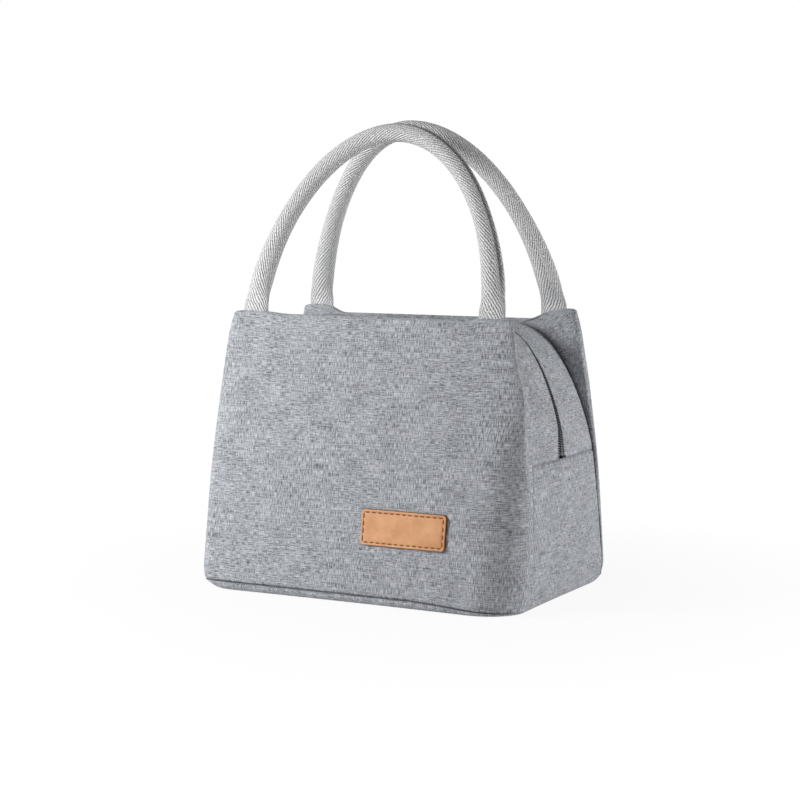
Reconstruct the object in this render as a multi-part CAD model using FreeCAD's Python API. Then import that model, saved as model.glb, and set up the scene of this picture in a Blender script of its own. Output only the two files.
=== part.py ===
import FreeCAD
import Part
import math
import os

from FreeCAD import Vector

# Insulated lunch bag, in millimetres.
# Origin: middle of the base on the floor. X runs along the width, -Y is the front with the label, Z is up.

# Driving dimensions
BASE_WIDTH = 225.0
BASE_DEPTH = 150.0
TOP_WIDTH = 196.0
TOP_DEPTH = 90.0
HEIGHT = 177.0
ROOF_HEIGHT = 166.0
ZIP_END_HEIGHT = 88.0

# Layers of the wall
CLOTH = 1.0
WALL_FOAM = 4.0
STRIP_FOAM = 3.0
LINING = 0.6

# Sewn shape
SEAM_HEIGHT = 4.5
BASE_BEVEL = 3.0
FOLD_CORNER = 1.5
TOP_SAG = 2.5
SHOULDER_DROP = 25.0
SHOULDER_WIDTH = 211.0
STRIP_LEAN = 19.5
STRIP_CORNER = 27.0
TOP_HEM = 16.0
FOLD_GAP = 0.3

# Zip
SLIT_HALF = 4.4
TAPE_REACH = 12.0
TAPE_DEPTH = 1.0
TAPE = 0.6
COIL_INNER = 0.8
COIL_WIDTH = 2.0
COIL_THICKNESS = 2.2
RUNNING_GAP = 0.3
SLIDER_PLATE = 1.0
SLIDER_LENGTH = 10.0
STOP_START = 1.2
STOP_LENGTH = 1.4
BAIL_HEIGHT = 3.6
BAIL_BAR = 1.2
BAIL_LENGTH = 7.0
PULL_LENGTH = 20.0
PULL_WIDTH = 6.4
PULL_THICKNESS = 1.2
PULL_END_BAR = 1.4

# Handles
HANDLE_HALF_SPAN = 86.0
HANDLE_RISE = 114.0
HANDLE_TOP_RADIUS = 62.0
HANDLE_RADIUS = 6.0
ROPE_RADIUS = 4.2
ROPE_EASE = 0.1
FRONT_LEAN = 17.0
BACK_LEAN = 11.0
FOOT_WIDTH = 20.0
FOOT_THICKNESS = 3.0
FOOT_LENGTH = 18.0
FOOT_LIFT = 2.8
TAB_GAP = 0.7
TAB_THICKNESS = 2.0

# Label
LABEL_WIDTH = 60.0
LABEL_HEIGHT = 22.0
LABEL_THICKNESS = 1.6
LABEL_CORNER = 2.5
LABEL_X = 36.0
LABEL_Z = 46.5

# Derived sizes
HALF_WIDTH = BASE_WIDTH / 2
WALL_INSIDE = CLOTH + WALL_FOAM
WALL = WALL_INSIDE + LINING
STRIP_INSIDE = CLOTH + STRIP_FOAM
FOLD_HEIGHT = ZIP_END_HEIGHT + FOLD_GAP
COIL_TOP = TAPE_DEPTH + TAPE / 2 - COIL_THICKNESS / 2
COIL_OUTER = COIL_INNER + COIL_WIDTH
SLIDER_PARK = STOP_START + STOP_LENGTH + RUNNING_GAP
SLIDER_END = SLIDER_PARK + SLIDER_LENGTH
HEM_MIDDLE = (WALL_INSIDE + CLOTH) / 2
HEM_LINE = HEIGHT - TOP_HEM
FAR = 2 * BASE_WIDTH


def half_depth(height):
    """Half of the outer depth of the bag at a height."""
    return BASE_DEPTH / 2 - (BASE_DEPTH - TOP_DEPTH) / 2 * height / HEIGHT


# The front and back panels wrap round the corners up to these seams. The corners get tighter with height.
GUSSET_HALF = half_depth(ZIP_END_HEIGHT) - WALL - FOLD_CORNER


def closed_face(edges):
    return Part.Face(Part.Wire(Part.__sortEdges__(edges)))


def line(start, end):
    return Part.LineSegment(start, end).toShape()


def arc(start, middle, end):
    return Part.Arc(start, middle, end).toShape()


def flat(x, z):
    """A point of an outline drawn on the upright plane through the width."""
    return Vector(x, 0, z)


def through_depth(face):
    """The outline drawn on the upright plane, carried right through the bag from front to back."""
    start = face.translated(Vector(0, -FAR, 0))
    return start.extrude(Vector(0, 2 * FAR, 0))


def across_width(points):
    """A closed (y, z) polygon carried right across the width."""
    corners = [Vector(-FAR, y, z) for y, z in points]
    face = Part.Face(Part.makePolygon(corners + corners[:1]))
    return face.extrude(Vector(2 * FAR, 0, 0))


def front_slab(near, far, low=-FAR, high=FAR):
    """The slice of the front wall from depth near to depth far behind its outer face."""
    return across_width([
        (near - half_depth(low), low),
        (near - half_depth(high), high),
        (far - half_depth(high), high),
        (far - half_depth(low), low),
    ])


def front_half(start, end, low=FOLD_HEIGHT, high=HEIGHT):
    """The space from depth start behind the front face to the upright plane y = end."""
    return across_width([
        (start - half_depth(low), low),
        (start - half_depth(high), high),
        (end, high),
        (end, low),
    ])


def box(x, y, z):
    """A box between the two values of each pair."""
    return Part.makeBox(x[1] - x[0], y[1] - y[0], z[1] - z[0], Vector(x[0], y[0], z[0]))


def to_back(shape):
    return shape.mirror(Vector(0, 0, 0), Vector(0, 1, 0))


def rounded_rectangle(half_x, half_y, radius, height):
    """A wire of four lines and four quarter arcs at a height."""
    middle = radius * (1 - math.sqrt(0.5))
    edges = []
    for x_sign, y_sign in ((1, -1), (1, 1), (-1, 1), (-1, -1)):
        along_x = Vector(x_sign * (half_x - radius), y_sign * half_y, height)
        along_y = Vector(x_sign * half_x, y_sign * (half_y - radius), height)
        turn = Vector(x_sign * (half_x - middle), y_sign * (half_y - middle), height)
        edges.append(arc(along_x, turn, along_y))
    for sign in (1, -1):
        edges.append(line(Vector(-half_x + radius, sign * half_y, height),
                          Vector(half_x - radius, sign * half_y, height)))
        edges.append(line(Vector(sign * half_x, -half_y + radius, height),
                          Vector(sign * half_x, half_y - radius, height)))
    return Part.Wire(Part.__sortEdges__(edges))


def section(height, inset):
    """The outline of the lower body at a height, drawn in by inset."""
    depth = half_depth(height) - inset
    return rounded_rectangle(HALF_WIDTH - inset, depth, depth - GUSSET_HALF, height)


def body(inset, low, high):
    return Part.makeLoft([section(low, inset), section(high, inset)], True, True)


# Lower walls: front and back panels wrap round the corners to the edges of the flat side gussets.

def lower_layer(outer, inner, low):
    return body(outer, low, ZIP_END_HEIGHT).cut(body(inner, low, ZIP_END_HEIGHT))


def lower_walls(cloth, foam, lining):
    nodes = {}
    front = box((-FAR, FAR), (-FAR, -GUSSET_HALF), (-FAR, FAR))
    right = box((0, FAR), (-GUSSET_HALF, GUSSET_HALF), (-FAR, FAR))
    left = box((-FAR, 0), (-GUSSET_HALF, GUSSET_HALF), (-FAR, FAR))
    for kind, layer in (("panel_lower", cloth), ("foam_lower", foam), ("lining_lower", lining)):
        nodes["front_" + kind] = layer.common(front)
        nodes["back_" + kind] = to_back(nodes["front_" + kind])
    for kind, layer in (("gusset", cloth), ("gusset_foam", foam), ("gusset_lining", lining)):
        nodes["left_" + kind] = layer.common(left)
        nodes["right_" + kind] = layer.common(right)
    return nodes


def bottom():
    bevel_inside = BASE_BEVEL * (1 - CLOTH / SEAM_HEIGHT) + CLOTH
    tray = Part.makeLoft([section(0, BASE_BEVEL), section(SEAM_HEIGHT, 0)], True, True)
    hollow = Part.makeLoft([section(CLOTH, bevel_inside), section(SEAM_HEIGHT, CLOTH)], True, True)
    foam_plan = Part.Face(section(CLOTH, bevel_inside))
    lining_plan = Part.Face(section(WALL_INSIDE, WALL_INSIDE))
    return {
        "bottom_panel": tray.cut(hollow),
        "bottom_foam": foam_plan.extrude(Vector(0, 0, WALL_FOAM)),
        "bottom_lining": lining_plan.extrude(Vector(0, 0, LINING)),
    }


# Upper panels: flat, with corners that stand past the zip strip.

def tangent_arc(start, heading, end):
    """The arc that leaves start along heading and arrives at end, on the upright plane."""
    chord = end - start
    normal = Vector(-heading.z, 0, heading.x).normalize()
    radius = chord.dot(chord) / (2 * normal.dot(chord))
    centre = start + normal * radius
    middle = centre + ((start + end) / 2 - centre).normalize() * abs(radius)
    return arc(start, middle, end)


def panel_outline(inset):
    """The outline of an upper panel from the fold to the sagging top edge, drawn in by inset."""
    sides = []
    for sign in (1, -1):
        fold = flat(sign * (HALF_WIDTH - inset), FOLD_HEIGHT)
        shoulder = flat(sign * (SHOULDER_WIDTH / 2 - inset), HEIGHT - SHOULDER_DROP)
        corner = flat(sign * (TOP_WIDTH / 2 - inset), HEIGHT - inset)
        sides.append((fold, shoulder, corner))
    right, left = sides
    edges = [line(left[0], right[0])]
    for fold, shoulder, corner in sides:
        edges.append(line(fold, shoulder))
        edges.append(tangent_arc(shoulder, shoulder - fold, corner))
    edges.append(arc(right[2], flat(0, HEIGHT - TOP_SAG - inset), left[2]))
    return closed_face(edges)


def top_edge(x):
    """Height of the sagging top edge at x."""
    half = TOP_WIDTH / 2
    radius = (half ** 2 + TOP_SAG ** 2) / (2 * TOP_SAG)
    return HEIGHT - TOP_SAG + radius - math.sqrt(radius ** 2 - x ** 2)


def strip_region(depth):
    """What lies under the zip strip, at a depth below its outer face."""
    lean = math.radians(STRIP_LEAN)
    radius = STRIP_CORNER - depth
    roof = ROOF_HEIGHT - depth
    foot_x = HALF_WIDTH - depth / math.cos(lean) - FOLD_GAP * math.tan(lean)
    meeting_x = foot_x - (roof - FOLD_HEIGHT) * math.tan(lean)
    tangent = radius * math.tan((math.pi / 2 - lean) / 2)
    halves = []
    for sign in (1, -1):
        foot = flat(sign * foot_x, FOLD_HEIGHT)
        shoulder = flat(sign * (meeting_x + tangent * math.sin(lean)), roof - tangent * math.cos(lean))
        crown = flat(sign * (meeting_x - tangent), roof)
        halves.append((foot, shoulder, crown))
    right, left = halves
    edges = [line(left[0], right[0]), line(right[2], left[2])]
    for foot, shoulder, crown in halves:
        edges.append(line(foot, shoulder))
        edges.append(tangent_arc(shoulder, shoulder - foot, crown))
    return closed_face(edges)


def strip_band(outer, inner):
    return through_depth(strip_region(outer)).cut(through_depth(strip_region(inner)))


def handle_tabs():
    """The two flat webbing ends inside the hem of a front panel."""
    edge = top_edge(HANDLE_HALF_SPAN)
    slab = front_slab(HEM_MIDDLE - TAB_THICKNESS / 2, HEM_MIDDLE + TAB_THICKNESS / 2)
    tabs = []
    for x in (-HANDLE_HALF_SPAN, HANDLE_HALF_SPAN):
        column = box((x - FOOT_WIDTH / 2, x + FOOT_WIDTH / 2), (-FAR, 0),
                     (HEM_LINE, edge + FOOT_LIFT - FOOT_THICKNESS / 2 - TAB_GAP))
        tabs.append(slab.common(column))
    return Part.makeCompound(tabs)


def front_flap():
    outline = through_depth(panel_outline(0))
    pocket = through_depth(panel_outline(CLOTH)).fuse(box((-FAR, FAR), (-FAR, FAR), (0, FOLD_HEIGHT)))
    under_strip = through_depth(strip_region(0))
    inside = through_depth(strip_region(STRIP_INSIDE + LINING))
    below_hem = box((-FAR, FAR), (-FAR, FAR), (0, HEM_LINE))
    tabs = handle_tabs()

    shell = outline.common(front_slab(0, WALL_INSIDE))
    foam_space = outline.common(pocket).common(front_slab(CLOTH, WALL_INSIDE))
    facing = outline.cut(under_strip).common(front_slab(WALL_INSIDE, WALL_INSIDE + CLOTH))
    strip = strip_band(0, CLOTH).common(front_half(WALL_INSIDE, -SLIT_HALF))
    padded = front_half(WALL_INSIDE, -TAPE_REACH)
    return {
        "front_panel_upper": shell.cut(foam_space).cut(tabs),
        "front_foam_upper": foam_space.common(below_hem),
        "front_lining_upper": inside.common(front_slab(WALL_INSIDE, WALL)),
        "front_zip_strip": strip.fuse(facing).removeSplitter(),
        "front_strip_foam": strip_band(CLOTH, STRIP_INSIDE).common(padded),
        "front_strip_lining": strip_band(STRIP_INSIDE, STRIP_INSIDE + LINING).common(padded),
        "front_zip_tape": zip_tape(),
        "front_zip_coil": zip_coil(),
        "front_handle_tabs": tabs,
    }


# Zip parts are drawn on a flat strip, travel along X and outer face at Z = 0, and then laid on the left side.

def on_left_side(shape):
    turned = shape.copy()
    turned.rotate(Vector(0, 0, 0), Vector(0, 1, 0), STRIP_LEAN - 90)
    turned.translate(Vector(-HALF_WIDTH, 0, ZIP_END_HEIGHT))
    return turned


def to_right_side(shape):
    return shape.mirror(Vector(0, 0, 0), Vector(1, 0, 0))


def clear_of_ends(row, left_start, right_start):
    """A row of the zip, cut back to its starts along the left and the right side."""
    ends = ((on_left_side, left_start), (lambda shape: to_right_side(on_left_side(shape)), right_start))
    for lay, start in ends:
        block = box((-HALF_WIDTH, start), (-TAPE_REACH, 0), (-HALF_WIDTH / 2, HALF_WIDTH / 2))
        row = row.cut(lay(block))
    return row


def zip_row(top, thickness, inner, outer):
    band = strip_band(top, top + thickness)
    return band.common(box((-FAR, FAR), (-outer, -inner), (-FAR, FAR)))


def zip_tape():
    """The front tape starts past the parked slider on the left."""
    return clear_of_ends(zip_row(TAPE_DEPTH, TAPE, COIL_OUTER, TAPE_REACH), SLIDER_END + RUNNING_GAP, 0)


def zip_coil():
    """The front coil starts past the parked slider on the left and past the end stop on the right."""
    return clear_of_ends(zip_row(COIL_TOP, COIL_THICKNESS, COIL_INNER, COIL_OUTER),
                         SLIDER_END + RUNNING_GAP, SLIDER_PARK)


def zip_end_stops():
    half = COIL_OUTER - RUNNING_GAP
    clip = box((STOP_START, STOP_START + STOP_LENGTH), (-half, half), (-COIL_TOP - COIL_THICKNESS, -COIL_TOP))
    left = on_left_side(clip)
    return Part.makeCompound([left, to_right_side(left)])


def zip_slider():
    flange = COIL_OUTER + RUNNING_GAP
    half = SLIT_HALF - RUNNING_GAP
    length = (SLIDER_PARK, SLIDER_END)
    top = -COIL_TOP + RUNNING_GAP
    low = -COIL_TOP - COIL_THICKNESS - RUNNING_GAP
    tape_top = -TAPE_DEPTH + RUNNING_GAP
    tape_low = -TAPE_DEPTH - TAPE - RUNNING_GAP
    neck = COIL_INNER - RUNNING_GAP
    plate_top = top + SLIDER_PLATE
    solid = box(length, (-half, half), (top, plate_top))
    pieces = [box(length, (-half, half), (low - SLIDER_PLATE, low))]
    for sign in (-1, 1):
        side = sorted((sign * flange, sign * half))
        pieces.append(box(length, side, (tape_top, top)))
        pieces.append(box(length, side, (low, tape_low)))
    pieces.append(box((length[1] - SLIDER_LENGTH / 3, length[1]), (-neck, neck), (low, top)))
    bail_start = SLIDER_PARK + (SLIDER_LENGTH - BAIL_LENGTH) / 2
    bail = box((bail_start, bail_start + BAIL_LENGTH), (-BAIL_BAR / 2, BAIL_BAR / 2),
               (plate_top, BAIL_HEIGHT + BAIL_BAR))
    window = box((bail_start + BAIL_BAR, bail_start + BAIL_LENGTH - BAIL_BAR), (-FAR, FAR),
                 (plate_top, BAIL_HEIGHT))
    pieces.append(bail.cut(window))
    return on_left_side(solid.fuse(pieces).removeSplitter())


def pull_axis():
    """Middle of the bar of the pull inside the bail, on the flat strip."""
    return Vector(SLIDER_PARK + SLIDER_LENGTH / 2, 0, BAIL_HEIGHT - PULL_END_BAR / 2 - RUNNING_GAP)


def zip_pull():
    """The pull lies along the strip and points down from the bail."""
    half = PULL_WIDTH / 2
    slot = BAIL_BAR / 2 + RUNNING_GAP
    top = PULL_END_BAR / 2
    plate = box((top - PULL_LENGTH, top), (-half, half), (-PULL_THICKNESS / 2, PULL_THICKNESS / 2))
    hole = box((top - PULL_END_BAR - BAIL_LENGTH, top - PULL_END_BAR), (-slot, slot), (-FAR, FAR))
    return on_left_side(plate.cut(hole).translated(pull_axis()))


# Handles: one arch of three arcs in its own plane, leaned inwards over the bag.

def stadium(width, thickness, centre, lean):
    """A flat round-ended wire, level across the thickness and leaned by an angle across the width."""
    straight = (width - thickness) / 2
    bulge = width / 2
    half = thickness / 2
    along = Vector(math.cos(lean), 0, math.sin(lean))
    across = Vector(0, 1, 0)
    front = [centre + along * x - across * half for x in (-straight, straight)]
    back = [centre + along * x + across * half for x in (-straight, straight)]
    return Part.Wire([
        line(front[0], front[1]),
        arc(front[1], centre + along * bulge, back[1]),
        line(back[1], back[0]),
        arc(back[0], centre - along * bulge, front[0]),
    ])


SIDE_RADIUS = ((HANDLE_HALF_SPAN ** 2 + (HANDLE_RISE - HANDLE_TOP_RADIUS) ** 2 - HANDLE_TOP_RADIUS ** 2)
               / (2 * (HANDLE_HALF_SPAN - HANDLE_TOP_RADIUS)))


def arch(radius):
    """A round bar along the arch above its flat feet."""
    top_centre = flat(0, HANDLE_RISE - HANDLE_TOP_RADIUS)
    side_centre = flat(HANDLE_HALF_SPAN - SIDE_RADIUS, 0)
    toward = top_centre - side_centre
    side_end = math.degrees(math.atan2(toward.z, toward.x))
    side_start = math.degrees(math.asin(FOOT_LENGTH / SIDE_RADIUS))

    def bend(centre, bend_radius, start, sweep):
        disc = Part.Face(Part.Wire(Part.makeCircle(radius, Vector(bend_radius, 0, 0), Vector(0, 0, 1))))
        disc.rotate(Vector(0, 0, 0), Vector(0, -1, 0), start)
        return disc.translated(centre).revolve(centre, Vector(0, -1, 0), sweep)

    right = bend(side_centre, SIDE_RADIUS, side_start, side_end - side_start)
    top = bend(top_centre, HANDLE_TOP_RADIUS, side_end, 180 - 2 * side_end)
    return top.fuse([right, to_right_side(right)]).removeSplitter()


def foot():
    """The webbing flattens from the round bar to the hem."""
    lean = math.asin(FOOT_LENGTH / SIDE_RADIUS)
    top_x = HANDLE_HALF_SPAN - SIDE_RADIUS * (1 - math.cos(lean))
    round_width = 2 * HANDLE_RADIUS + ROPE_EASE
    flat_end = stadium(FOOT_WIDTH, FOOT_THICKNESS, flat(HANDLE_HALF_SPAN, 0), 0)
    round_end = stadium(round_width, 2 * HANDLE_RADIUS, flat(top_x, FOOT_LENGTH), lean)
    knuckle = Part.makeCylinder(FOOT_THICKNESS / 2, FOOT_WIDTH,
                                flat(HANDLE_HALF_SPAN - FOOT_WIDTH / 2, 0), Vector(1, 0, 0))
    return Part.makeLoft([flat_end, round_end], True, True).fuse(knuckle)


def handle(lean):
    """The sleeve and the rope of a front handle, feet on the hinge line above the front hem."""
    right = foot()
    sleeve = arch(HANDLE_RADIUS).cut(arch(ROPE_RADIUS)).fuse([right, to_right_side(right)])
    rope = arch(ROPE_RADIUS - ROPE_EASE)
    edge = top_edge(HANDLE_HALF_SPAN)
    pivot = Vector(0, HEM_MIDDLE - half_depth(edge), edge + FOOT_LIFT)
    placed = []
    for shape in (sleeve, rope):
        shape.rotate(Vector(0, 0, 0), Vector(1, 0, 0), -lean)
        placed.append(shape.translated(pivot))
    return placed


def label():
    plan = rounded_rectangle(LABEL_WIDTH / 2, LABEL_HEIGHT / 2, LABEL_CORNER, 0)
    face = Part.Face(plan)
    face.rotate(Vector(0, 0, 0), Vector(1, 0, 0), 90)
    return through_depth(face.translated(flat(LABEL_X, LABEL_Z))).common(front_slab(-LABEL_THICKNESS, 0))


def all_nodes():
    nodes = bottom()
    nodes.update(lower_walls(
        lower_layer(0, CLOTH, SEAM_HEIGHT),
        lower_layer(CLOTH, WALL_INSIDE, WALL_INSIDE),
        lower_layer(WALL_INSIDE, WALL, WALL),
    ))
    flap = front_flap()
    nodes.update(flap)
    for name, shape in flap.items():
        nodes[name.replace("front", "back")] = to_back(shape)
    nodes["zip_end_stops"] = zip_end_stops()
    nodes["zip_slider"] = zip_slider()
    nodes["zip_pull"] = zip_pull()
    nodes["front_handle_sleeve"], nodes["front_handle_rope"] = handle(FRONT_LEAN)
    back_sleeve, back_rope = handle(BACK_LEAN)
    nodes["back_handle_sleeve"] = to_back(back_sleeve)
    nodes["back_handle_rope"] = to_back(back_rope)
    nodes["label"] = label()
    return nodes


os.makedirs("parts", exist_ok=True)
for node_name, node_shape in all_nodes().items():
    node_shape.exportStep("parts/" + node_name + ".step")
    bounds = node_shape.BoundBox
    print(node_name, "valid" if node_shape.isValid() else "not valid", len(node_shape.Solids), "solids",
          [round(v, 1) for v in (bounds.XMin, bounds.YMin, bounds.ZMin, bounds.XMax, bounds.YMax, bounds.ZMax)])

edge_height = top_edge(HANDLE_HALF_SPAN)
print("fold hinge y, z", round(half_depth(ZIP_END_HEIGHT), 3), ZIP_END_HEIGHT)
print("handle hinge y, z", round(half_depth(edge_height) - HEM_MIDDLE, 3), round(edge_height + FOOT_LIFT, 3))
print("pull hinge", on_left_side(Part.Vertex(pull_axis())).Point)
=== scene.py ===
import math

import bpy
import numpy as np
from mathutils import Matrix, Vector


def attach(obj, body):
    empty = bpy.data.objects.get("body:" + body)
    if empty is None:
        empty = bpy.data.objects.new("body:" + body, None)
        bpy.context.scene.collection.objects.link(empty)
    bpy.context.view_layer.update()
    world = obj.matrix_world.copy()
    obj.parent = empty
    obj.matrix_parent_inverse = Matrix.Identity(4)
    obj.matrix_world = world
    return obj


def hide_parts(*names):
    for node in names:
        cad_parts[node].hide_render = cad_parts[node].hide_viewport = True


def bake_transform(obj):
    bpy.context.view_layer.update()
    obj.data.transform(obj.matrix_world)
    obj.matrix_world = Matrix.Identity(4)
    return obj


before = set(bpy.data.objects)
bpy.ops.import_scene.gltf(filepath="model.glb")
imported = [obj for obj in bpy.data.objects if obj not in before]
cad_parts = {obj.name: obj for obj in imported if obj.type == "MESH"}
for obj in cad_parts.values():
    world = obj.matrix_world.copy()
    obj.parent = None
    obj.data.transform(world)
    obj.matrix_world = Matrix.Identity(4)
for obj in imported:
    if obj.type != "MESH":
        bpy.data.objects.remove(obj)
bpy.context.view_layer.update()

# Lengths are in millimetres, and MM turns them into metres. A RANGE is where a change starts and ends.
MM = 0.001

# The bag's main sizes
HALF_WIDTH = 112.5
HALF_BASE_DEPTH = 75.0
HALF_TOP_DEPTH = 45.0
HEIGHT = 177.0
ROOF = 169.5
FOLD = 88.0
BOTTOM_SEAM = 5.2
WALL = 5.3
STRIP_WALL = 4.3
HANDLE_HALF_SPAN = 86.0

# The sides: their inset, how they are drawn in towards the top, and the tuck at the bottom seam
SIDE_INSET = 1.7
DRAW_START = 75.0
DRAW_EASE = 25.0
DRAW_LEAN = 0.071
SHOULDER = 155.0
SHOULDER_CURVE = 0.005
FOOT_TUCK = 1.7
FOOT_HEIGHT = 5.0

# Softness: the crown of the padding, the waves in the cloth, the rolled rim and the round corners
BULGE = 1.6
GUSSET_BULGE = 0.8
CROWN_POWER = 4
HOLD_POWER = 0.7
RIPPLE = 0.45
FOIL_RIPPLE = 0.15
SIDE_FOIL_RIPPLE = 0.2
WAVE_COUNT = 5
WAVE_LENGTH = 34.0
WAVE_STEP = 19.0
WAVE_TURN = 2.4
RIM = 2.4
CORNER_RANGE = (10.0, 150.0)

# Seams: the sunk lines, the valley beside the padded sides, and how the bottom seam dips at one corner
SEAM_DEPTH = 1.5
SEAM_SPREAD = 0.9
FOLD_DEPTH = 0.8
# gain of the painted shade beside seams
SHADE_GAIN = 1.4
VALLEY = 3.2
LOW_VALLEY = 0.8
VALLEY_RANGE = (30.0, FOLD)
ROLL = 2.2
RIDGE = 0.6
RIDGE_RANGE = (20.0, 80.0)
BASE_LINE_RANGE = (52.0, 70.0)
SEAM_DIP = 3.4
DIP_HEIGHT = 30.0
DIP_X_RANGE = (35.0, 106.0)
DIP_Y_RANGE = (-65.0, 0.0)

# The upright corners: how wide and how deep each is rounded at the base, how far behind the face its seam
# lies at the base and how much less with height, how far its ear leans in, where its top edge starts to rise
# and how far its tip stands up
FRONT_LEFT = dict(bend=10.0, round=6.0, seam=32.5, taper=0.17, lean=0.0, rise=58.0, tip=0.0)
FRONT_RIGHT = dict(bend=28.0, round=23.0, seam=32.5, taper=0.17, lean=6.0, rise=58.0, tip=0.0)
BACK_LEFT = dict(bend=10.0, round=6.0, seam=7.3, taper=0.0, lean=3.0, rise=70.0, tip=0.0)
BACK_RIGHT = dict(bend=10.0, round=6.0, seam=7.3, taper=0.0, lean=0.9, rise=76.0, tip=2.6)

# The panels: the sag of the top edge and a dip in it, the width of the painted shade line in the zip strip's
# seam, the darkness of the painted shade on the crease behind the rim, half the width of the slit at
# SLIT_PLACES, and a seed for the waves
FRONT = dict(left=FRONT_LEFT, right=FRONT_RIGHT, sag=1.8, dip=1.2, line=1.0, crease_shade=0.8,
             slit=[7.4, 3.4, 2.3, 1.3, 2.6], seed=0.7)
BACK = dict(left=BACK_LEFT, right=BACK_RIGHT, sag=5.4, dip=0.0, line=4.2, crease_shade=0.0,
            slit=[5.2, 2.6, 2.0, 1.2, 2.6], seed=2.9)


def smooth(low, high, value):
    """0 below low, 1 above high, and an even turn between."""
    part = np.clip((value - low) / (high - low), 0, 1)
    return part * part * (3 - 2 * part)


def mix(a, b, part):
    """The value a share of the way from a to b."""
    return a + (b - a) * part


def bell(distance, spread):
    """1 at no distance and next to nothing at twice the spread."""
    return np.exp(-(distance / spread) ** 2)


def vectors(*axes):
    """Points or places from their coordinates."""
    return np.stack(np.broadcast_arrays(*axes), axis=-1)


def half_depth(z):
    """Half of the bag's depth between the flat faces of its panels."""
    return HALF_BASE_DEPTH - (HALF_BASE_DEPTH - HALF_TOP_DEPTH) * z / HEIGHT


def both(side, key, place):
    """A value of a panel's left or right corner, by place."""
    return np.where(place < 0, side["left"][key], side["right"][key])


def corner_depth(z, depth):
    """How far a panel has turned back where it meets the side: less towards the top."""
    return mix(depth, RIM, smooth(*CORNER_RANGE, z))


def seam_depth(z, corner):
    """How far the side seam lies behind a panel's face, always past the corner."""
    return np.maximum(corner["seam"] - corner["taper"] * z, corner_depth(z, corner["round"]) + LOW_VALLEY)


def half_width(z):
    """Half of the bag's width: tucked in at the seam, straight, drawn in, round the shoulder."""
    above = np.clip(z - DRAW_START, -DRAW_EASE, None)
    drawn_in = np.where(above > DRAW_EASE, above, (above + DRAW_EASE) ** 2 / (4 * DRAW_EASE))
    rounded = SHOULDER_CURVE * np.clip(z - SHOULDER, 0, None) ** 2
    tuck = FOOT_TUCK * bell(z - BOTTOM_SEAM, FOOT_HEIGHT)
    return HALF_WIDTH - SIDE_INSET - DRAW_LEAN * drawn_in - rounded - tuck


def side_face(z):
    """Half-width of the side gussets: inside the edge of the panels near the fold."""
    return half_width(z) - RIDGE * smooth(*RIDGE_RANGE, z)


def seam_valley(z):
    """Depth of the side seam: shallow at the base, deep at the zip strip."""
    return mix(LOW_VALLEY, VALLEY, smooth(*VALLEY_RANGE, z))


def side_puff(distance, valley):
    """Height of a padded side beside its seam: lowest at the seam, then round."""
    part = np.clip(distance / ROLL, 0, 1)
    return valley * (np.sqrt(1 - (1 - part) ** 2) - 1)


def hold(rise):
    """How free padding is to swell at a share of its height: not at all at either end."""
    return np.sin(math.pi * np.clip(rise, 0, 1)) ** HOLD_POWER


def ripple(a, b, seed):
    """Slow uneven waves over cloth, between about -1 and 1."""
    total = 0
    for wave in range(WAVE_COUNT):
        heading = seed + WAVE_TURN * wave
        length = WAVE_LENGTH + WAVE_STEP * wave
        along = a * math.cos(heading) + b * math.sin(heading)
        total = total + np.sin(2 * math.pi * along / length + seed * wave)
    return total / 3


def seam_shade(distance, line):
    """How much painted shade the cloth gets beside a seam, from 0 to 1."""
    return np.minimum(SHADE_GAIN * bell(distance, line), 1)


def base_line(y):
    """The share of the bottom seam's sunk line and of its painted shade: all at the front and back, none at
    the sides.
    """
    return smooth(*BASE_LINE_RANGE, np.abs(y))


def run_length(points):
    """The length along a row of points, from the first one to each."""
    return np.concatenate([[0], np.cumsum(np.linalg.norm(np.diff(points, axis=0), axis=1))])


def surface_normals(points):
    along_rows = np.gradient(points, axis=0)
    along_columns = np.gradient(points, axis=1)
    normals = np.cross(along_columns, along_rows)
    length = np.linalg.norm(normals, axis=-1, keepdims=True)
    return normals / np.maximum(length, 1e-9)


# Meshes

TUBE_TURNS = np.radians(np.linspace(0, 360, 9)[:-1])

pieces = {}


def new_piece(name, vertices, faces, material):
    """A smooth mesh with one material, kept in pieces by its name."""
    mesh = bpy.data.meshes.new(name)
    mesh.from_pydata((np.asarray(vertices) * MM).tolist(), [], faces)
    mesh.shade_smooth()
    mesh.materials.append(material)
    piece = bpy.data.objects.new(name, mesh)
    bpy.context.scene.collection.objects.link(piece)
    pieces[name] = piece
    return piece


def quads(rows, columns):
    """The faces of a grid, as four point numbers each."""
    number = np.arange(rows * columns).reshape(rows, columns)
    corners = [number[:-1, :-1], number[:-1, 1:], number[1:, 1:], number[1:, :-1]]
    return np.stack(corners, axis=-1).reshape(-1, 4)


def closed(corners, columns):
    """The point numbers when a grid's last column is left out, because it is the first one again."""
    kept = columns - 1
    return corners // columns * kept + corners % columns % kept


def tubes_piece(name, tubes, material):
    """A mesh of many small tubes, each a grid of rings."""
    rings, around = tubes[0].shape[:2]
    faces = closed(quads(rings, around + 1), around + 1)
    every_face = np.concatenate([faces + number * rings * around for number in range(len(tubes))])
    new_piece(name, np.concatenate(tubes).reshape(-1, 3), every_face.tolist(), material)


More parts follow.
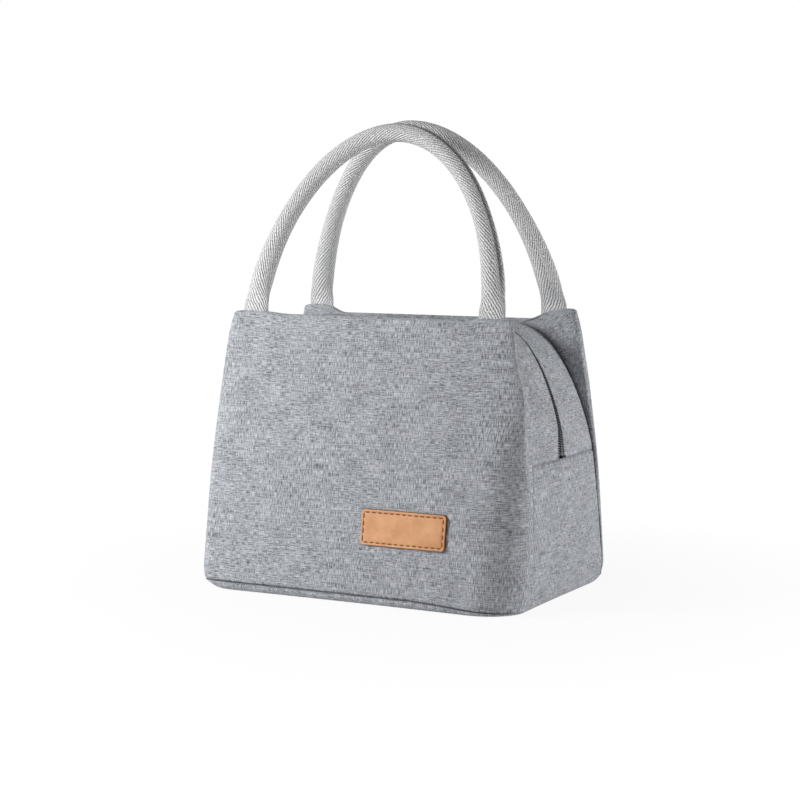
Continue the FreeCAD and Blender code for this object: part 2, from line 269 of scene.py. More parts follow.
class Grid:
    """Rows and columns of points on cloth. weave is the place of each point on the flat cloth, and shade is
    the painted shade there beside a seam, kept in the seam attribute."""

    def __init__(self, points, weave, shade=None):
        self.points = points
        self.weave = weave
        self.shade = shade

    def turned(self):
        """The same cloth with its other face out."""
        return Grid(self.points[:, ::-1], self.weave[:, ::-1], self.shade[:, ::-1])

    def mirrored(self, axis, weave_shift):
        """The cloth of the opposite side, with its outside out, cut from another place."""
        other = self.turned()
        mirror = np.where(np.arange(3) == axis, -1, 1)
        return Grid(other.points * mirror, other.weave + weave_shift, other.shade)

    def settled(self):
        """The cloth sunk at the front right corner, where the bottom seam dips."""
        x, y, z = np.moveaxis(self.points, -1, 0)
        near = smooth(*DIP_X_RANGE, x) * (1 - smooth(*DIP_Y_RANGE, y))
        share = np.where(z < BOTTOM_SEAM, z / BOTTOM_SEAM, 1 - smooth(BOTTOM_SEAM, DIP_HEIGHT, z))
        return Grid(vectors(x, y, z - SEAM_DIP * near * share), self.weave, self.shade)

    def piece(self, name, material, slot, wrap=False, cap=False):
        """A mesh over the grid, closed round its columns if wrapped and over its last row if capped."""
        rows, columns = self.points.shape[:2]
        corners = quads(rows, columns)
        places = self.weave.reshape(-1, 2)[corners.ravel()]
        kept = columns - 1 if wrap else columns
        faces = (closed(corners, columns) if wrap else corners).tolist()
        if cap:
            last = (rows - 1) * kept
            faces.append(list(range(last, last + kept)))
            places = np.concatenate([places, self.weave[-1, :kept]])
        piece = new_piece(name, self.points[:, :kept].reshape(-1, 3), faces, material)
        layer = piece.data.uv_layers.new(name="weave")
        layer.data.foreach_set("uv", places.astype(np.float32).ravel())
        # the seam attribute carries the painted shade to the materials
        if self.shade is not None:
            values = piece.data.attributes.new("seam", "FLOAT", "POINT").data
            values.foreach_set("value", self.shade[:, :kept].astype(np.float32).ravel())


def to_back(points):
    """Mirror a grid of the front to the back, and keep its outside out."""
    return (points * [1, -1, 1])[:, ::-1]


# Materials

def tint(red, green, blue):
    """A colour as read off a screen, from 0 to 255, as linear light."""
    shares = [value / 255 for value in (red, green, blue)]
    linear = [s / 12.92 if s <= 0.04045 else ((s + 0.055) / 1.055) ** 2.4 for s in shares]
    return (*linear, 1.0)


def darker(colour, share):
    return [share * value for value in colour[:3]] + [1.0]


class Value:
    """An output in a node tree. Sums and products of outputs add Math nodes."""

    def __init__(self, nodes, socket):
        self.nodes = nodes
        self.socket = socket

    def __add__(self, other):
        return self.nodes.calc("ADD", self, other)

    def __sub__(self, other):
        return self.nodes.calc("SUBTRACT", self, other)

    def __mul__(self, other):
        return self.nodes.calc("MULTIPLY", self, other)

    def __truediv__(self, other):
        return self.nodes.calc("DIVIDE", self, other)


class Nodes:
    """Short calls that add nodes to a tree."""

    def __init__(self, tree):
        self.tree = tree

    def link(self, value, socket):
        self.tree.links.new(value.socket, socket)

    def add(self, kind, inputs, output=0, **settings):
        """One output of a new node."""
        node = self.tree.nodes.new("ShaderNode" + kind)
        for key, value in settings.items():
            setattr(node, key, value)
        for socket, value in inputs.items():
            if isinstance(value, Value):
                self.link(value, node.inputs[socket])
            else:
                node.inputs[socket].default_value = value
        return Value(self, node.outputs[output])

    def calc(self, operation, *values):
        return self.add("Math", dict(enumerate(values)), operation=operation)

    def stretch(self, value, low, high, new_low=0.0, new_high=1.0):
        return self.add("MapRange", {0: value, 1: low, 2: high, 3: new_low, 4: new_high})

    def seen(self):
        """1 for what the camera sees, straight, mirrored or through glass, and 0 for light on the bag."""
        camera, glossy, through = [self.add("LightPath", {}, "Is " + kind + " Ray")
                                   for kind in ("Camera", "Glossy", "Transmission")]
        return self.calc("MAXIMUM", self.calc("MAXIMUM", camera, glossy), through)


class Finish(Nodes):
    """A Principled material, with short calls for what the materials below share."""

    def __init__(self, name, **values):
        self.material = bpy.data.materials.new(name)
        self.material.use_nodes = True
        super().__init__(self.material.node_tree)
        self.shader = self.tree.nodes["Principled BSDF"]
        for socket, value in values.items():
            self.shader.inputs[socket.replace("_", " ")].default_value = value

    def weave(self):
        """The place on the flat cloth, in millimetres, across and along."""
        place = self.add("UVMap", {}, uv_map="weave")
        return [self.add("SeparateXYZ", {0: place}, axis) for axis in (0, 1)]

    def place(self):
        return self.add("TexCoord", {}, "Object")

    def join(self, x, y, z=0.0):
        return self.add("CombineXYZ", {0: x, 1: y, 2: z})

    def noise(self, vector, scale=1.0, detail=0.0):
        return self.add("TexNoise", {"Vector": vector, "Scale": scale, "Detail": detail})

    def threads(self, place, width):
        """Even ridges across a place on the cloth, from 0 to 0.5."""
        return self.calc("PINGPONG", place / width, 0.5)

    def blend(self, factor, a, b):
        return self.add("Mix", {0: factor, 6: a, 7: b}, 2, data_type="RGBA")

    def paint_seam_shade(self, colour, dark, depth, share):
        """Painted shade: a colour that turns to a part of the dark one where the seam attribute is 1."""
        seam = self.add("Attribute", {}, "Fac", attribute_name="seam")
        return self.blend(seam * share, colour, darker(dark, depth))

    def feed(self, socket, value):
        self.link(value, self.shader.inputs[socket])

    def bump(self, height, distance, strength=1.0):
        inputs = {"Height": height, "Distance": distance * MM, "Strength": strength}
        self.feed("Normal", self.add("Bump", inputs))


def heather(name, dark, light, thread, dash, patches):
    """Weave of mottled yarns: light and dark dashes both ways, longer slubs across, cloudy patches. Painted
    shade darkens it beside seams.
    """
    look = Finish(name, Roughness=0.9, Sheen_Weight=0.1, Sheen_Roughness=0.6)
    across, along = look.weave()

    def yarns(width, height, layer):
        return look.noise(look.join(across / width, along / height, layer), detail=1.0)

    upright = yarns(thread, dash, 0.0)
    level = yarns(dash, thread, 40.0)
    slubs = yarns(5 * dash, 1.5 * thread, 80.0)
    place = look.join(across, along)
    patch = look.stretch(look.noise(place, 1 / patches), 0.35, 0.65, 0.25, 0.65)
    dashes = look.add("Mix", {0: patch, 2: upright, 3: level})
    tone = dashes + look.noise(place, 3 / patches, 2.0) * 0.14 + slubs * 0.25
    yarn = look.blend(look.stretch(tone, 0.55, 0.84), dark, light)
    # painted shade beside seams, from the seam attribute
    look.feed("Base Color", look.paint_seam_shade(yarn, dark, 0.2, 0.92))
    look.bump(look.threads(across, thread) * look.threads(along, thread) + dashes, 0.15, 0.5)
    return look.material


def ribbed(name, dark, light, rib, slant):
    """Webbing with ribs that wind round it at an angle off its length, with painted shade along the line
    where its edges are joined.
    """
    look = Finish(name, Roughness=0.8, Sheen_Weight=0.1, Sheen_Roughness=0.5)
    across, along = look.weave()
    wander = look.noise(look.join(across, along), 0.25) * (0.6 * rib)
    phase = across * math.cos(slant) - along * math.sin(slant) + wander
    strands = look.noise(look.join(phase / (0.4 * rib), along / (0.7 * rib)))
    tone = look.stretch(look.threads(phase, rib) + (strands - 0.5) * 0.6, 0.0, 0.4)
    look.feed("Base Color", look.paint_seam_shade(look.blend(tone, dark, light), dark, 0.25, 0.85))
    look.bump(tone, 0.45 * rib)
    return look.material


def leather(name, dark, light):
    """Smooth tan leather with fine pores, painted shade on its cut edge, and a little darker in the groove
    under the stitches.
    """
    look = Finish(name, Roughness=0.55, Specular_IOR_Level=0.35)
    place = look.place()
    pores = look.add("TexVoronoi", {"Vector": place, "Scale": 1400.0})
    cloud = look.noise(place, 90.0, 4.0)
    grain = look.noise(place, 900.0, 3.0)
    hide = look.blend(look.stretch(cloud * 0.7 + grain * 0.3, 0.3, 0.7), dark, light)
    look.feed("Base Color", look.paint_seam_shade(hide, dark, 0.12, 1.0))
    look.feed("Roughness", look.stretch(grain, 0.3, 0.7, 0.45, 0.62))
    look.bump(pores + grain * 0.8, 0.12, 0.6)
    return look.material


def foil(name, colour):
    """Silver film with small creases over foam."""
    look = Finish(name, Metallic=0.85, Roughness=0.4)
    place = look.place()
    cells = look.add("TexVoronoi", {"Vector": place, "Scale": 70.0}, feature="DISTANCE_TO_EDGE")
    crinkle = look.noise(place, 160.0, 3.0)
    dull = look.noise(place, 25.0, 2.0)
    look.feed("Base Color", look.blend(dull, darker(colour, 0.85), colour))
    look.feed("Roughness", look.stretch(crinkle, 0.3, 0.7, 0.46, 0.62))
    look.bump(look.calc("MINIMUM", cells, 0.12) + crinkle * 0.1, 4.0, 0.35)
    return look.material


def tape_weave(name, dark, light):
    """Plain close weave."""
    look = Finish(name, Roughness=0.85)
    across, along = look.weave()
    tone = look.threads(along, 0.55) + look.threads(across, 0.8)
    look.feed("Base Color", look.blend(tone, dark, light))
    look.bump(tone, 0.15, 0.8)
    return look.material


def plain_grain(name, dark, light, scale, roughness, metallic=0.0, gloss=0.5):
    """Metal or moulded plastic with slight handling marks."""
    look = Finish(name, Roughness=roughness, Metallic=metallic, Specular_IOR_Level=gloss)
    place = look.place()
    marks = look.noise(place, scale * 8, 2.0)
    look.feed("Base Color", look.blend(look.noise(place, scale, 3.0), dark, light))
    look.feed("Roughness", look.stretch(marks, 0.3, 0.7, roughness * 0.8, roughness * 1.3))
    look.bump(marks, 0.02, 0.4)
    return look.material


CLOTH = heather("heather_cloth", tint(104, 107, 113), tint(216, 219, 225),
                thread=0.45, dash=4.0, patches=45.0)
WEBBING = ribbed("webbing", tint(182, 182, 184), tint(253, 253, 253), rib=1.4, slant=math.radians(25))
LEATHER = leather("tan_leather", tint(214, 148, 101), tint(246, 188, 139))
THREAD = ribbed("brown_thread", tint(126, 70, 36), tint(158, 98, 56), rib=0.3, slant=math.radians(40))
FOIL = foil("foil_lining", tint(158, 160, 164))
TAPE = tape_weave("zip_tape", tint(120, 122, 127), tint(168, 170, 175))
NYLON = plain_grain("black_coil", tint(18, 18, 19), tint(34, 34, 36), scale=300.0, roughness=0.42, gloss=0.15)
NICKEL = plain_grain("nickel", tint(150, 150, 152), tint(196, 196, 198),
                     scale=120.0, roughness=0.3, metallic=1.0)


# Front and back panels

FLAT_COLUMNS = 81
CORNER_COLUMNS = 24
LOW_ROWS = BOTTOM_SEAM + np.array([0, 0.25, 0.55, 0.95, 1.5, 2.4])
WALL_START = 9.6
WALL_ROWS = 77
RIM_TURNS = np.radians([15, 30, 45, 60, 75, 90])
# painted shade in the bottom seam: its width and its darkness
BASE_LINE = 0.6
BASE_SHADE = 0.75
SLACK_PLACE = 72.0
SLACK_WIDTH = 7.0
TIP_RANGE = (78.0, 106.0)
HANG_RANGE = (95.0, HEIGHT - RIM)
EAR_X_RANGE = (30.0, 100.0)
EAR_Z_RANGE = (128.0, 158.0)


def swell(x, z, seed):
    """How far a panel stands out from its flat: a low crown and uneven waves, none at the seams."""
    inside = 1 - np.clip(np.abs(x) / half_width(z), 0, 1) ** CROWN_POWER
    rise = (z - BOTTOM_SEAM) / (HEIGHT - BOTTOM_SEAM)
    return inside * hold(rise) * (BULGE + RIPPLE * ripple(x, z, seed))


def top_drop(x, side):
    """How far the top edge hangs between the handles, with more slack beside one of them."""
    slack = 1 - smooth(both(side, "rise", x), HANDLE_HALF_SPAN, np.abs(x))
    beside = bell(x - SLACK_PLACE, SLACK_WIDTH)
    tip = both(side, "tip", x) * smooth(*TIP_RANGE, np.abs(x))
    return side["sag"] * slack + side["dip"] * beside - tip


def ear_lean(x, z, side):
    """How far the ears of a panel have moved to the left."""
    right = side["right"]["lean"] * smooth(*EAR_X_RANGE, x)
    left = side["left"]["lean"] * smooth(*EAR_X_RANGE, -x)
    return (right - left) * smooth(*EAR_Z_RANGE, z)


def panel_columns(corner_columns, flat_columns):
    """The turn of each column of a panel round its corner, and its share of the flat, -1 to 1."""
    corner = np.linspace(0, math.pi / 2, corner_columns)
    flat = np.linspace(-1, 1, flat_columns)[1:-1]
    turn = np.concatenate([-corner[::-1], 0 * flat, corner])
    share = np.concatenate([-np.ones(corner_columns), flat, np.ones(corner_columns)])
    return turn[None, :], share[None, :]


def panel(side):
    """A front panel that turns round the corners to the side seams and over the top rim."""
    turn, share = panel_columns(CORNER_COLUMNS, FLAT_COLUMNS)
    wall = np.concatenate([LOW_ROWS, np.linspace(WALL_START, HEIGHT - RIM, WALL_ROWS)])
    level = np.concatenate([wall, np.full(len(RIM_TURNS), HEIGHT - RIM)])[:, None]
    roll = np.concatenate([0 * wall, RIM_TURNS])[:, None]
    reach = level + RIM * np.sin(roll)
    bend = both(side, "bend", share)
    turned = corner_depth(reach, both(side, "round", share))
    straight = share * (half_width(reach) - bend)
    x = straight + (bend - RIM * (1 - np.cos(roll))) * np.sin(turn)
    drop = top_drop(x, side) * smooth(*HANG_RANGE, reach)
    z = level + RIM * np.sin(roll) * np.sqrt(1 - np.sin(turn) ** 2 / 2) - drop
    depth = turned * (1 - np.cos(turn)) + RIM * (1 - np.cos(roll)) * np.cos(turn)
    y = depth - half_depth(z) - swell(x, z, side["seed"])
    points = vectors(x - ear_lean(x, reach, side), y, z)
    groove = SEAM_DEPTH * bell(level - BOTTOM_SEAM, SEAM_SPREAD) * base_line(y)
    weave = vectors(straight + (bend + turned) / 2 * turn, level + RIM * roll)
    # painted shade in the bottom seam, at the front and back only
    shade = BASE_SHADE * seam_shade(level - BOTTOM_SEAM, BASE_LINE) * base_line(y)
    return Grid(points - surface_normals(points) * groove[..., None], weave, shade)


front_panel = panel(FRONT).settled()
back_panel = panel(BACK)
front_panel.piece("front_panel", CLOTH, "cloth")
back_panel.mirrored(1, weave_shift=400).piece("back_panel", CLOTH, "cloth")


# Zip strips: down from the rim along the inner face of the ear, then over the padded band to the slit.

STRIP_LEAN = math.radians(19.5)
STRIP_BEND = 27.0
BOW_REACH = 57.0
RIGHT_BOW = 0.62
LEFT_BOW = 0.0
ROOF_SAG = 4.0
LEAN_ROWS = 44
ROW_POWER = 1.3
BEND_ROWS = 20
ROOF_ROWS = 30

# Where the rim lies beside the ends of the strip's bend: a height, and a length from the middle of the top
RIM_SHOULDER = 158.0
RIM_TOP = 82.0

EDGE_ROLL = 1.6
FACING = np.concatenate([np.linspace(0, 0.2, 6)[:-1], np.linspace(0.2, 1, 10)])
CREASE_PLACE = 1.0
CREASE_X_RANGE = (80.0, 88.0)
CREASE_Z_RANGE = (128.0, 150.0)
SIDE_RANGE = (-60.0, 60.0)

CROWN = 2.4
CROWN_FALL = 0.4
CROWN_RANGE = (0.0, 22.0)
SEAM_STEPS = np.array([0.2, 0.5, 0.9, 1.4, 2.0, 2.7, 3.5, 4.5])
BAND = np.linspace(0, 1, 18)[1:]
BAND_WAVES = 40.0
# painted shade beside the band's seams and at the fold: widths, and the darkness at the fold
BAND_LINE = 0.8
FOLD_LINE = 0.7
FOLD_SHADE = 0.4

LIP = 0.55
LIP_TURNS = np.radians([30, 60, 90, 120, 150, 180])
LIP_UNDER = 4.0
SLIT_PLACES = [0, 22, 50, 78, 130]
LEFT_SLIT = 4.4
LEFT_SLIT_RANGE = (66.0, 96.0)

FACING_WEAVE = -30.0
STRIP_WEAVE = 800.0


def strip_path(bow):
    """One side of the strip from its fold to the middle of the roof: x, z, outward angle, length so far. It
    leans in straight and then bends over, and is bowed out by a share towards a quarter of an ellipse."""
    foot = side_face(FOLD)
    height = ROOF - FOLD
    tangent = STRIP_BEND * math.tan((math.pi / 2 - STRIP_LEAN) / 2)
    lean_length = height / math.cos(STRIP_LEAN) - tangent
    lean = lean_length * np.linspace(0, 1, LEAN_ROWS) ** ROW_POWER
    bend = np.linspace(STRIP_LEAN, math.pi / 2, BEND_ROWS + 1)[1:]
    z = np.concatenate([FOLD + lean * math.cos(STRIP_LEAN), ROOF - STRIP_BEND * (1 - np.sin(bend))])
    crown = foot - height * math.tan(STRIP_LEAN) - tangent
    straight = np.concatenate([foot - lean * math.sin(STRIP_LEAN), crown + STRIP_BEND * np.cos(bend)])
    ellipse = foot - BOW_REACH * (1 - np.sqrt(np.clip(1 - ((z - FOLD) / height) ** 2, 0, 1)))
    x = mix(straight, ellipse, bow)
    level = np.linspace(1, 0, ROOF_ROWS + 1)[1:]
    x = np.concatenate([x, x[-1] * level])
    z = np.concatenate([z, ROOF - ROOF_SAG * (1 - level ** 2)])
    angle = np.arctan2(-np.gradient(x), np.gradient(z))
    return x, z, angle, run_length(vectors(x, z))


def whole_path():
    """The strip from the right fold over the roof to the left fold: bowed on the right, straight on the left,
    where the slider runs."""
    x, z, angle, length = strip_path(RIGHT_BOW)
    left_x, left_z, left_angle, left_length = strip_path(LEFT_BOW)
    return (np.concatenate([x, -left_x[-2::-1]]), np.concatenate([z, left_z[-2::-1]]),
            np.concatenate([angle, math.pi - left_angle[-2::-1]]),
            np.concatenate([length, length[-1] + left_length[-1] - left_length[-2::-1]]))


def right_rim(points, bow):
    """The edge of a panel from the right fold to the middle of the top, one point for each strip row."""
    rise = points[:, -1, 2]
    start = np.searchsorted(rise[:len(LOW_ROWS) + WALL_ROWS], FOLD)
    fold = mix(points[start - 1, -1], points[start, -1],
               (FOLD - rise[start - 1]) / (rise[start] - rise[start - 1]))
    middle = points.shape[1] // 2
    edge = np.concatenate([fold[None], points[start:, -1], points[-1, -2:middle - 1:-1]])
    run = run_length(edge)
    shoulder = np.interp(RIM_SHOULDER, edge[:, 2], run)
    rows = strip_path(bow)[3]
    bend_start = rows[LEAN_ROWS - 1]
    bend_end = rows[LEAN_ROWS + BEND_ROWS - 1]
    at = np.interp(rows, [0, bend_start, bend_end, rows[-1]], [0, shoulder, run[-1] - RIM_TOP, run[-1]])
    return np.stack([np.interp(at, run, edge[:, axis]) for axis in range(3)], axis=-1)


def rim_points(points):
    """The edge of a panel from the right fold round the top to the left fold."""
    mirror = np.array([-1, 1, 1])
    left = right_rim(points[:, ::-1] * mirror, LEFT_BOW) * mirror
    return np.concatenate([right_rim(points, RIGHT_BOW), left[-2::-1]])


def slit_edge(widths):
    """Half-width of the slit along the strip, from widths at SLIT_PLACES from the right fold."""
    length = whole_path()[3]
    from_left = length[-1] - length
    return mix(LEFT_SLIT, np.interp(length, SLIT_PLACES, widths), smooth(*LEFT_SLIT_RANGE, from_left))


def band_lift(from_end):
    """How far the strip's lips stand over its path: none where the strip starts."""
    return (CROWN - CROWN_FALL) * smooth(*CROWN_RANGE, from_end)


def facing(rim, valley, line, crease_shade=0.0):
    """Columns from the rim of a panel along its edge and down its inner side to the seam, and their painted
    shade. Painted shade also darkens the crease just behind the rim."""
    width = np.hypot(valley[:, 0] - rim[:, 0], valley[:, 2] - rim[:, 2])
    rim_depth = rim[:, 1] + half_depth(rim[:, 2])
    valley_depth = valley[:, 1] + half_depth(valley[:, 2])
    edge = np.clip(width, 1e-6, np.minimum(EDGE_ROLL, valley_depth - rim_depth))
    columns = [rim]
    shade = [0 * width]
    for share in FACING:
        place = mix(rim, valley, share)
        part = np.clip(share * width / edge, 0, 1)
        depth = valley_depth - edge * (1 - np.sqrt(1 - (1 - part) ** 2))
        columns.append(vectors(place[:, 0], depth - half_depth(place[:, 2]), place[:, 2]))
        # painted shade on the crease behind the rim, and beside the seam in the valley
        fold = crease_shade * bell(share * width - CREASE_PLACE, CREASE_PLACE)
        shade.append(np.maximum(seam_shade((1 - share) * width, line), fold))
    return columns, shade


def strip(points, side):
    """The front strip, from the rim of a panel's points to the lip that is turned under at the slit."""
    path_x, path_z, angle, length = whole_path()
    slit = slit_edge(side["slit"])
    rim = rim_points(points)
    from_end = np.minimum(length, length[-1] - length)
    outward = vectors(np.cos(angle), 0, np.sin(angle))
    path = vectors(path_x, 0, path_z)

    def on_band(y, lift):
        return path + outward * lift[:, None] + vectors(0, y, 0)

    valley = path - outward * VALLEY
    left, right = [seam_depth(valley[:, 2], side[end]) for end in ("left", "right")]
    valley[:, 1] = mix(left, right, smooth(*SIDE_RANGE, path_x)) - half_depth(valley[:, 2])
    seam_y = valley[:, 1]
    crease_shade = side["crease_shade"] * smooth(*CREASE_Z_RANGE, rim[:, 2]) * smooth(*CREASE_X_RANGE, rim[:, 0])
    columns, shade = facing(rim, valley, side["line"], crease_shade)
    across = [FACING_WEAVE + 0 * length]
    for column, before in zip(columns[1:], columns):
        across.append(across[-1] + np.linalg.norm(column - before, axis=1))

    grow = smooth(*CROWN_RANGE, from_end)
    # painted shade at the fold and beside the seam
    fold_shade = FOLD_SHADE * seam_shade(from_end, FOLD_LINE)
    fold_groove = FOLD_DEPTH * bell(from_end, SEAM_SPREAD)
    steps = [step + 0 * seam_y for step in SEAM_STEPS]
    steps += [mix(SEAM_STEPS[-1], -slit - seam_y, share) for share in BAND]
    for distance in steps:
        share = distance / (-slit - seam_y)
        crown = CROWN * (1 - (1 - share) ** 3) - CROWN_FALL * share ** 2
        wave = RIPPLE * ripple(length, share * BAND_WAVES, seed=1.3) * np.sin(math.pi * share)
        padding = side_puff(distance, VALLEY) + grow * (crown + wave) + 2 * LIP * share ** 2
        columns.append(on_band(seam_y + distance, padding - fold_groove))
        across.append(distance)
        shade.append(np.maximum(seam_shade(distance, BAND_LINE), fold_shade))

    lip_lift = band_lift(from_end) + 2 * LIP
    for turn in LIP_TURNS:
        columns.append(on_band(-slit + LIP * math.sin(turn), lip_lift - LIP * (1 - math.cos(turn))))
        across.append(-slit - seam_y + LIP * turn)
    columns.append(on_band(-slit - LIP_UNDER, lip_lift - 2 * LIP))
    across.append(-slit - seam_y + LIP * math.pi + LIP_UNDER)
    shade += [0 * length] * (len(LIP_TURNS) + 1)
    weave = vectors(np.stack(across, axis=1) + STRIP_WEAVE, length[:, None])
    return Grid(np.stack(columns, axis=1), weave, np.stack(shade, axis=1))


strip(front_panel.points, FRONT).turned().piece("front_strip", CLOTH, "cloth")
strip(back_panel.points, BACK).turned().mirrored(1, weave_shift=300).piece("back_strip", CLOTH, "cloth")


# Side gussets

FOLD_ROWS = FOLD - np.array([4, 2.4, 1.2, 0.5, 0])
GUSSET_ROWS = np.concatenate([LOW_ROWS, np.linspace(WALL_START, 82, 34), FOLD_ROWS])
GUSSET_COLUMNS = np.linspace(0, 1, 40)[1:-1]
GUSSET_WEAVE = 1500.0
LINE_RANGE = (55.0, FOLD)
# heights over which the painted shade in a gusset's front and back seams fades in
FRONT_SHADE_RANGE = (40.0, FOLD)
BACK_SHADE_RANGE = (6.0, 34.0)
SWELL_RANGE = (0.0, 40.0)


def gusset_edge(panel_side, side, fade):
    """Columns of the right gusset's edge at a front panel, from the panel to the seam, and their painted
    shade.
    """
    z = GUSSET_ROWS
    corner = panel_side[side]
    rim = vectors(half_width(z), corner_depth(z, corner["round"]) - half_depth(z), z)
    valley = vectors(side_face(z) - seam_valley(z), seam_depth(z, corner) - half_depth(z), z)
    columns, shade = facing(rim, valley, mix(BAND_LINE, panel_side["line"], smooth(*LINE_RANGE, z)))
    return columns, [dark * fade for dark in shade]


def gusset(side, seed):
    """A gusset on the right, from the front seam over the padded side to the back seam."""
    z = GUSSET_ROWS
    front_fade = smooth(*FRONT_SHADE_RANGE, z)
    back_fade = smooth(*BACK_SHADE_RANGE, z)
    front, front_dark = gusset_edge(FRONT, side, front_fade)
    back, back_dark = gusset_edge(BACK, side, back_fade)
    back = [column * [1, -1, 1] for column in back]
    near = front[-1][:, 1]
    far = back[-1][:, 1]
    across = [near + step for step in SEAM_STEPS]
    across += [mix(near + SEAM_STEPS[-1], far - SEAM_STEPS[-1], share) for share in GUSSET_COLUMNS]
    across += [far - step for step in SEAM_STEPS[::-1]]
    rise = (z - BOTTOM_SEAM) / (FOLD - BOTTOM_SEAM)
    fold_dark = FOLD_SHADE * seam_shade(FOLD - z, FOLD_LINE)
    face = side_face(z) - FOLD_DEPTH * bell(FOLD - z, SEAM_SPREAD)
    padded, dark = [], []
    for y in across:
        from_seam = np.minimum(y - near, far - y)
        free = smooth(*SWELL_RANGE, from_seam) * hold(rise)
        out = side_puff(from_seam, seam_valley(z)) + free * (GUSSET_BULGE + RIPPLE * ripple(y, z, seed))
        padded.append(vectors(face + out, y, z))
        # painted shade beside the front and back seams and at the fold
        seam_dark = back_fade * seam_shade(far - y, BAND_LINE) + front_fade * seam_shade(y - near, BAND_LINE)
        dark.append(np.maximum(seam_dark, fold_dark))
    points = np.stack(front + padded + back[::-1], axis=1)
    shade = np.stack(front_dark + dark + back_dark[::-1], axis=1)
    return Grid(points, points[..., 1:] + [GUSSET_WEAVE, 0], shade)


gusset("right", seed=4.1).settled().piece("right_gusset_cloth", CLOTH, "cloth")
gusset("left", seed=5.3).mirrored(0, weave_shift=200).piece("left_gusset_cloth", CLOTH, "cloth")


# Bottom

EDGE_TURNS = np.radians([0, 3, 7, 12, 18, 30, 45, 60, 75, 90])
EDGE_INSET = 3.4
BASE_STEP = 3.6
CORNER_REACH = 7.5
BOTTOM_RINGS = [0.995] + [1 - 0.07 * step for step in range(1, 11)]
BOTTOM_FLATNESS = 8
BOTTOM_WEAVE = 900.0


def base_corner(corner, x_sign, y_sign):
    """Points round one upright corner at the bottom seam, from the panel to the side."""
    turn = np.linspace(0, math.pi / 2, 14)
    x = half_width(BOTTOM_SEAM) - corner["bend"] * (1 - np.sin(turn))
    y = half_depth(BOTTOM_SEAM) - corner_depth(BOTTOM_SEAM, corner["round"]) * (1 - np.cos(turn))
    return vectors(x_sign * x, y_sign * y)


def base_outline():
    """The bag's outline at the bottom seam, once round, with the first point again at the end."""
    corners = [base_corner(FRONT_RIGHT, 1, -1), base_corner(BACK_RIGHT, 1, 1)[::-1],
               base_corner(BACK_LEFT, -1, 1), base_corner(FRONT_LEFT, -1, -1)[::-1]]
    points = []
    for corner, following in zip(corners, corners[1:] + corners[:1]):
        steps = round(np.linalg.norm(following[0] - corner[-1]) / BASE_STEP)
        points += [corner, mix(corner[-1], following[0], np.linspace(0, 1, steps)[1:-1, None])]
    return np.concatenate(points + [points[0][:1]])


def corner_lift(outline):
    """How much the bottom turns up at its tight corners, from 0 to 1."""
    lift = np.zeros(len(outline))
    for x_sign, y_sign in ((1, 1), (-1, 1), (-1, -1)):
        tip = np.array([x_sign * half_width(BOTTOM_SEAM), y_sign * half_depth(BOTTOM_SEAM)])
        lift += bell(np.linalg.norm(outline - tip, axis=1), CORNER_REACH)
    return lift


def bottom():
    """Rings from the bottom seam round the lower edge and in over the bottom."""
    outline = base_outline()
    around = run_length(outline)
    lift = corner_lift(outline)
    sunk = base_line(outline[:, 1])
    rings, weave, shade = [], [], []
    for turn in EDGE_TURNS:
        groove = SEAM_DEPTH * bell(BOTTOM_SEAM * turn, SEAM_SPREAD) * sunk
        draw_in = EDGE_INSET * (1 - math.cos(turn)) + groove
        share = 1 - (draw_in / np.linalg.norm(outline, axis=1))[:, None]
        z = BOTTOM_SEAM * (1 - math.sin(turn) * (1 - lift))
        rings.append(np.concatenate([outline * share, z[:, None]], axis=1))
        weave.append(vectors(around, -BOTTOM_SEAM * turn))
        # painted shade in the bottom seam, at the front and back only
        shade.append(BASE_SHADE * seam_shade(BOTTOM_SEAM * turn, BASE_LINE) * sunk)
    edge = rings[-1]
    for share in BOTTOM_RINGS:
        rings.append(edge * [share, share, share ** BOTTOM_FLATNESS])
        weave.append(rings[-1][:, :2] + [0, BOTTOM_WEAVE])
        shade.append(0 * around)
    return Grid(np.stack(rings), np.stack(weave), np.stack(shade)).turned()


bottom().settled().piece("bottom_cloth", CLOTH, "cloth", wrap=True, cap=True)


# Lining

FOIL_GAP = 0.6
STRIP_DROP = 0.6
TAPE_OUTER = -12.0


def wall_lining(side, seed):
    """The inner face of a panel: follows the wall up to the fold, then the inside of the strip."""
    top = ROOF - ROOF_SAG - STRIP_WALL - FOIL_GAP
    levels = np.concatenate([np.linspace(WALL + FOIL_GAP, FOLD, 24), np.linspace(FOLD, top, 30)[1:]])
    widths = []
    for bow in (LEFT_BOW, RIGHT_BOW):
        path_x, path_z = [values[:LEAN_ROWS + BEND_ROWS] for values in strip_path(bow)[:2]]
        inside_strip = np.interp(levels, path_z - STRIP_WALL * STRIP_DROP, path_x) - STRIP_WALL
        inside_strip = np.minimum(inside_strip, side_face(FOLD) - WALL)
        widths.append(np.where(levels < FOLD, side_face(levels) - WALL, inside_strip)[:, None])
    turn, share = panel_columns(8, 42)
    width = np.where(share < 0, widths[0], widths[1])
    z = levels[:, None]
    bend = both(side, "bend", share)
    turned = corner_depth(z, both(side, "round", share))
    x = share * (width - bend) + bend * np.sin(turn)
    y = WALL - half_depth(z) + turned * (1 - np.cos(turn)) + FOIL_RIPPLE * ripple(x, z, seed)
    return vectors(x, y, z)


def strip_lining():
    """The inner face of the front strip."""
    path_x, path_z, angle = whole_path()[:3]
    x = path_x - STRIP_WALL * np.cos(angle)
    z = path_z - STRIP_WALL * np.sin(angle)
    y = mix(WALL - half_depth(z)[:, None], TAPE_OUTER, np.linspace(0, 1, 10)[None, :])
    return vectors(x[:, None], y, z[:, None])


